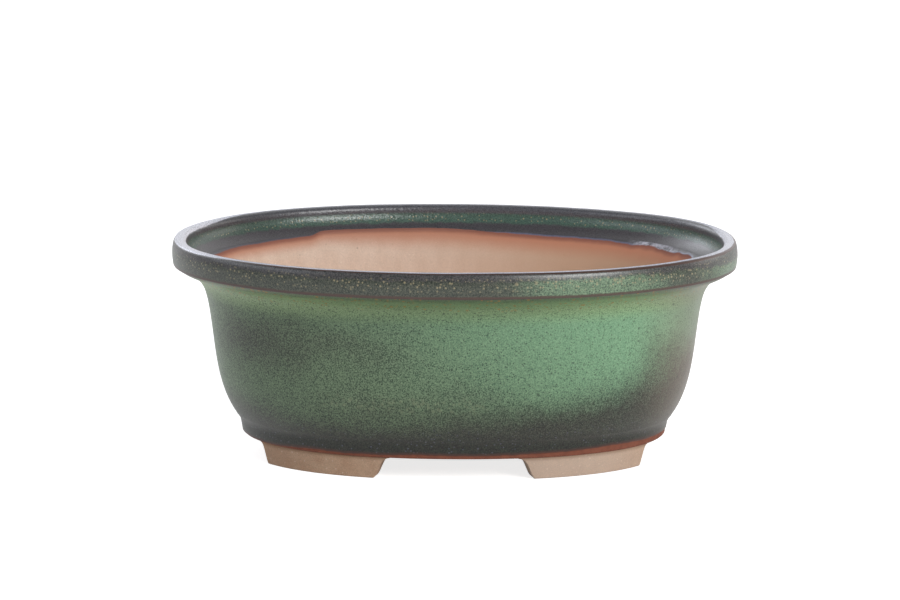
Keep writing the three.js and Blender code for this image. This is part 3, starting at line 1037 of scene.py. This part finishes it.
def wall_dots(shader, colour, x, z, tone):
    """Colour of the wall with its pinholes, other dots, and a stretch of pale ones."""
    pinholes = shader.ramp(tone, *PINHOLE_CHANGE, 0.75, 0.5)
    colour = shader.dotted(colour, PINHOLES, pinholes, SPECK)
    for kind, heights, strength, dot_colour in WALL_DOTS:
        share = shader.ramp(z, *heights, 0.0, strength)
        colour = shader.dotted(colour, kind, share, dot_colour)
    away = shader.math("ABSOLUTE", shader.math("SUBTRACT", z, PALE_DOT_LEVEL))
    pale = shader.ramp(away, *PALE_DOT_REACH, 0.0, 0.3)
    pale = shader.times(pale, shader.between(x, PALE_DOT_START, PALE_DOT_END))
    return shader.dotted(colour, PALE_DOTS, pale, PALE_DOT)


def wall_glaze():
    """Grainy green glaze, yellower at the neck and smoky in places, that ends brown on the band."""
    shader = Shader("wall_glaze")
    x, _, z = shader.axes()
    grain = shader.noise(*WALL_GRAIN)
    coarse = shader.noise(*WALL_COARSE)
    grains = shader.ramp(grain, 0.22, 0.78)
    pairs = (GREEN_DULL, GREEN_LIGHT, GREEN_NECK, SMOKE)
    dull, light, neck, smoke = (shader.mix(grains, *pair) for pair in pairs)
    tone = shader.total(x, (z, TONE_RISE))
    green = shader.mix(shader.ramp(tone, *TONE_CHANGE), dull, light)
    neck = shader.scaled(neck, shader.ramp(shader.math("ABSOLUTE", x), *NECK_PALER, 1.0, 1.25))
    green = shader.mix(shader.ramp(z, *NECK_HEIGHTS, 0.0, 0.85), green, neck)
    uneven = shader.centred(coarse)
    stipple = shader.total(wall_smoke(shader, x, z), (shader.centred(grain), -0.7), (uneven, 0.4))
    colour = shader.mix(shader.ramp(stipple, 0.0, 1.1), green, smoke)
    colour = shader.mix(shader.ramp(x, *WARM_PLACE, 0.0, 0.42), colour, WARM_GREY)
    corner = shader.times(shader.ramp(x, *CORNER_PLACE), shader.ramp(z, *CORNER_HEIGHTS))
    colour = shader.scaled(colour, shader.total(1.0, (corner, -0.18)))
    colour = shader.scaled(colour, shader.ramp(z, *BASE_SHADE, 1.0, 0.44))
    colour = shader.scaled(colour, shader.ramp(z, *SEAM_SHADE, 1.0, 0.45))
    colour = wall_dots(shader, colour, x, z, tone)
    edge = shader.total(shader.value("glaze_edge"), (uneven, 0.0008))
    colour = shader.mix(shader.ramp(edge, 0.0020, 0.0002), colour, BROWN_BREAK)
    bare = shader.ramp(edge, 0.0004, -0.0004)
    colour = shader.mix(bare, colour, shader.mix(shader.ramp(coarse, 0.3, 0.7), FLASH_RED, FLASH_BROWN))
    sheen = shader.centred(shader.noise(*WALL_SHEEN))
    shader.bump(shader.total(grain, (coarse, 1.5)), 0.25, 0.0001)
    return shader.finish(colour, shader.total(0.36, (bare, 0.4), (sheen, 0.12)))


class RimShader(Shader):
    """Shader of the rim with what its layers share. Lengths run up the face and over the lip."""

    def __init__(self, outline):
        super().__init__("rim_glaze")
        self.x, self.y, _ = self.axes()
        self.along = self.value("along")
        self.flat_place = self.add("CombineXYZ", self.value("around"), self.along).outputs[0]
        self.grain = self.noise(*RIM_GRAIN)
        self.coarse = self.noise(*RIM_COARSE)
        self.uneven = self.centred(self.coarse)
        self.line = self.total(self.along, (self.uneven, 0.001))
        self.soft_line = self.total(self.along, (self.uneven, 0.004))
        # Ends of the lip, where its painted reflection is brightest and reaches furthest
        right = self.times(self.ramp(self.x, *LIP_RIGHT_END), self.ramp(self.y, *LIP_RIGHT_FRONT))
        self.ends = self.math("MAXIMUM", self.ramp(self.x, *LIP_LEFT_END), right)
        lengths = running_lengths(outline.points)
        self.at = {name: lengths[index] for name, index in outline.marks.items()}
        self.at["pool_end"] = self.at["cove"] + POOL_REACH

    def face(self):
        """Green and black grains with dots, grey towards the top, and a lip painted pale as a reflection,
        brightest at its ends.
        """
        lower, upper, lip = self.at["lower_edge"], self.at["upper_edge"], self.at["lip"]
        grains = self.ramp(self.grain, 0.27, 0.73)
        green, dark, top = (self.mix(grains, *pair) for pair in (RIM_GREEN, RIM_DARK, RIM_TOP))
        stipple = self.total(cloud_cover(self, RIM_CLEARINGS), (self.uneven, 0.5))
        face = self.mix(self.ramp(stipple, 0.1, 0.9), green, dark)
        shade = self.total(self.soft_line, (self.ramp(self.x, *RIM_SHADE_PLACE), 0.0028))
        face = self.mix(self.ramp(shade, *near(upper, -0.0028, -0.0006), 0.0, 0.85), face, top)
        dots_end = near(upper, 0.0005, -0.0015)
        share = self.times(self.between(self.along, near(lower, 0.002, 0.005), dots_end), 0.7)
        face = self.dotted(face, RIM_DOTS, share, RIM_DOT, self.flat_place)
        share = self.between(self.along, near(lower, 0.003, 0.006), dots_end)
        share = self.times(share, self.ramp(self.x, *BIG_DOT_START))
        share = self.times(share, self.ramp(self.x, *BIG_DOT_END, 0.0, 0.5))
        face = self.dotted(face, RIM_BIG_DOTS, share, RIM_DOT, self.flat_place)
        face = self.dotted(face, RIM_PINHOLES, 0.7, SPECK, self.flat_place)
        # Painted reflection on the lip, brighter towards its ends
        lip_reflection = self.mix(self.ends, LIP_REFLECTION, LIP_END_REFLECTION)
        lip_reflection = self.scaled(lip_reflection, self.ramp(self.grain, 0.3, 0.7, 0.6, 1.2))
        on_lip = self.total(self.along, (self.ends, 0.0012))
        return self.mix(self.ramp(on_lip, *near(lip, -0.0010, -0.0004)), face, lip_reflection)

    def pool(self):
        """Thick green glaze in the cove, grey above and below it."""
        inner, cove, end = self.at["inner_face"], self.at["cove"], self.at["pool_end"]
        pool = self.mix(self.ramp(self.along, inner, cove + 0.0015), INNER_TOP, POOL_GREEN)
        pool = self.scaled(pool, self.ramp(self.x, *POOL_DARK_PLACE, 0.68, 1.0))
        pool = self.mix(self.ramp(self.soft_line, *near(end, -0.001, 0.001)), pool, POOL_GREY)
        pool = self.scaled(pool, self.ramp(self.grain, 0.25, 0.75, 0.6, 1.4))
        in_cove = self.between(self.along, near(cove, 0, 0.002), near(end, 0, -0.002))
        return self.dotted(pool, POOL_DOTS, self.times(in_cove, 0.7), RIM_DOT, self.flat_place)

    def breaks(self):
        """Share of brown where the glaze breaks at the upper and the lower edge."""
        lower, lip = self.at["lower_edge"], self.at["lip"]
        rubbed = self.total(self.line, (self.ramp(self.x, *RUBBED_PLACE), 0.0008))
        top = self.ramp(rubbed, *near(lip, -0.0019, -0.0014))
        top = self.times(top, self.ramp(self.line, *near(lip, -0.0005, -0.0010)))
        top = self.times(top, self.ramp(self.x, *BREAK_START))
        low = self.between(self.line, near(lower, -0.002, -0.001), near(lower, 0.0012, 0.0004))
        return self.math("MAXIMUM", top, low)

    def relief(self):
        """Grain of the glaze, dimpled where it is thick."""
        start, end = self.at["inner_edge"], self.at["pool_end"]
        pooled = self.between(self.along, near(start, 0, 0.001), near(end, 0.001, -0.001))
        dimples = self.times(self.noise(*RIM_DIMPLES), pooled)
        return self.total(self.grain, (self.coarse, 1.5), (dimples, 8.0))


def rim_glaze(outline):
    """Dark, speckled glaze of the rim, down to where it ends inside."""
    shader = RimShader(outline)
    # At the lip's ends its painted reflection reaches over the inner edge
    over_lip = shader.total(shader.line, (shader.ends, -0.0034))
    inside = shader.ramp(over_lip, *near(shader.at["inner_edge"], -0.0002, 0.0008))
    colour = shader.mix(inside, shader.face(), shader.pool())
    colour = shader.mix(shader.times(shader.breaks(), 0.9), colour, BROWN_BREAK)
    edge = shader.total(shader.value("glaze_edge"), (shader.uneven, 0.0005))
    bare = shader.ramp(edge, 0.0001, -0.0001)
    colour = shader.mix(bare, colour, inner_clay(shader, shader.noise(*INNER_FINE), edge))
    shader.bump(shader.relief(), 0.25, 0.0001)
    return shader.finish(colour, shader.total(0.34, (shader.uneven, 0.08), (bare, 0.5)), 1.65)


# Floor, light and camera


def floor():
    """Pale ground that glows in the camera and in reflections, and can't be seen from below."""
    corners = ((-1, -1), (1, -1), (1, 1), (-1, 1))
    piece = add_object("floor", [(x * GROUND_SIZE, y * GROUND_SIZE, 0) for x, y in corners], [(0, 1, 2, 3)])
    shader = Shader("floor")
    surface = shader.nodes["Principled BSDF"]
    surface.inputs["Specular IOR Level"].default_value = 0
    path = shader.add("LightPath")
    seen = shader.times(path.outputs["Is Camera Ray"], GROUND_SEEN)
    seen = shader.total(seen, (path.outputs["Is Glossy Ray"], GROUND_MIRRORED))
    glow = shader.add("Emission", (1, 1, 1, 1), seen)
    lit = shader.add("AddShader", surface.outputs[0], glow.outputs[0])
    back = shader.add("NewGeometry").outputs["Backfacing"]
    clear = shader.add("BsdfTransparent")
    ground = shader.add("MixShader", back, lit.outputs[0], clear.outputs[0])
    shader.feed(shader.nodes["Material Output"].inputs["Surface"], ground.outputs[0])
    piece.data.materials.append(shader.finish((GROUND_GREY, GROUND_GREY, GROUND_GREY, 1), GROUND_ROUGHNESS))


def lamp(name, place, size, power, colour):
    light = bpy.data.lights.new(name, "AREA")
    light.shape = "RECTANGLE"
    light.size, light.size_y = size
    light.energy = power
    light.color = colour
    lamp_object = bpy.data.objects.new(name, light)
    lamp_object.location = place
    aim = Vector((0, 0, POT_TOP / 2)) - Vector(place)
    lamp_object.rotation_euler = aim.to_track_quat("-Z", "Y").to_euler()
    lamp_object.visible_camera = False
    bpy.context.scene.collection.objects.link(lamp_object)


def studio():
    """Lamps in a pale room, which is brightest behind the pot and white in the camera."""
    shader = Shader("studio", "worlds", "Generated")
    bpy.context.scene.world = shader.owner
    _, y, _ = shader.axes()
    light = shader.ramp(y, *ROOM_CHANGE, ROOM_FRONT, ROOM_BACK)
    seen = shader.add("LightPath").outputs["Is Camera Ray"]
    background = shader.nodes["Background"]
    shader.feed(background.inputs["Color"], (1, 1, 1, 1))
    shader.feed(background.inputs["Strength"], shader.math("MAXIMUM", light, seen))
    for settings in LAMPS:
        lamp(*settings)


def camera():
    data = bpy.data.cameras.new("camera")
    data.sensor_width = SENSOR_WIDTH
    data.lens = CAMERA_LENS
    view = bpy.data.objects.new("camera", data)
    back = Vector((0, -math.cos(CAMERA_ELEVATION), math.sin(CAMERA_ELEVATION)))
    tilt = Matrix.Rotation(math.pi / 2 - CAMERA_ELEVATION, 4, "X")
    roll = Matrix.Rotation(CAMERA_ROLL, 4, "Z")
    view.matrix_world = Matrix.Translation(CAMERA_AIM + back * CAMERA_DISTANCE) @ tilt @ roll
    bpy.context.scene.collection.objects.link(view)
    bpy.context.scene.camera = view


noise.seed_set(UNEVEN_SEED)
camera()
studio()
floor()
rim_band()
outer_glaze = wall_glaze()
body_wall(outer_glaze)
floor_slab(outer_glaze)
feet()

bpy.context.scene.view_settings.view_transform = "Standard"
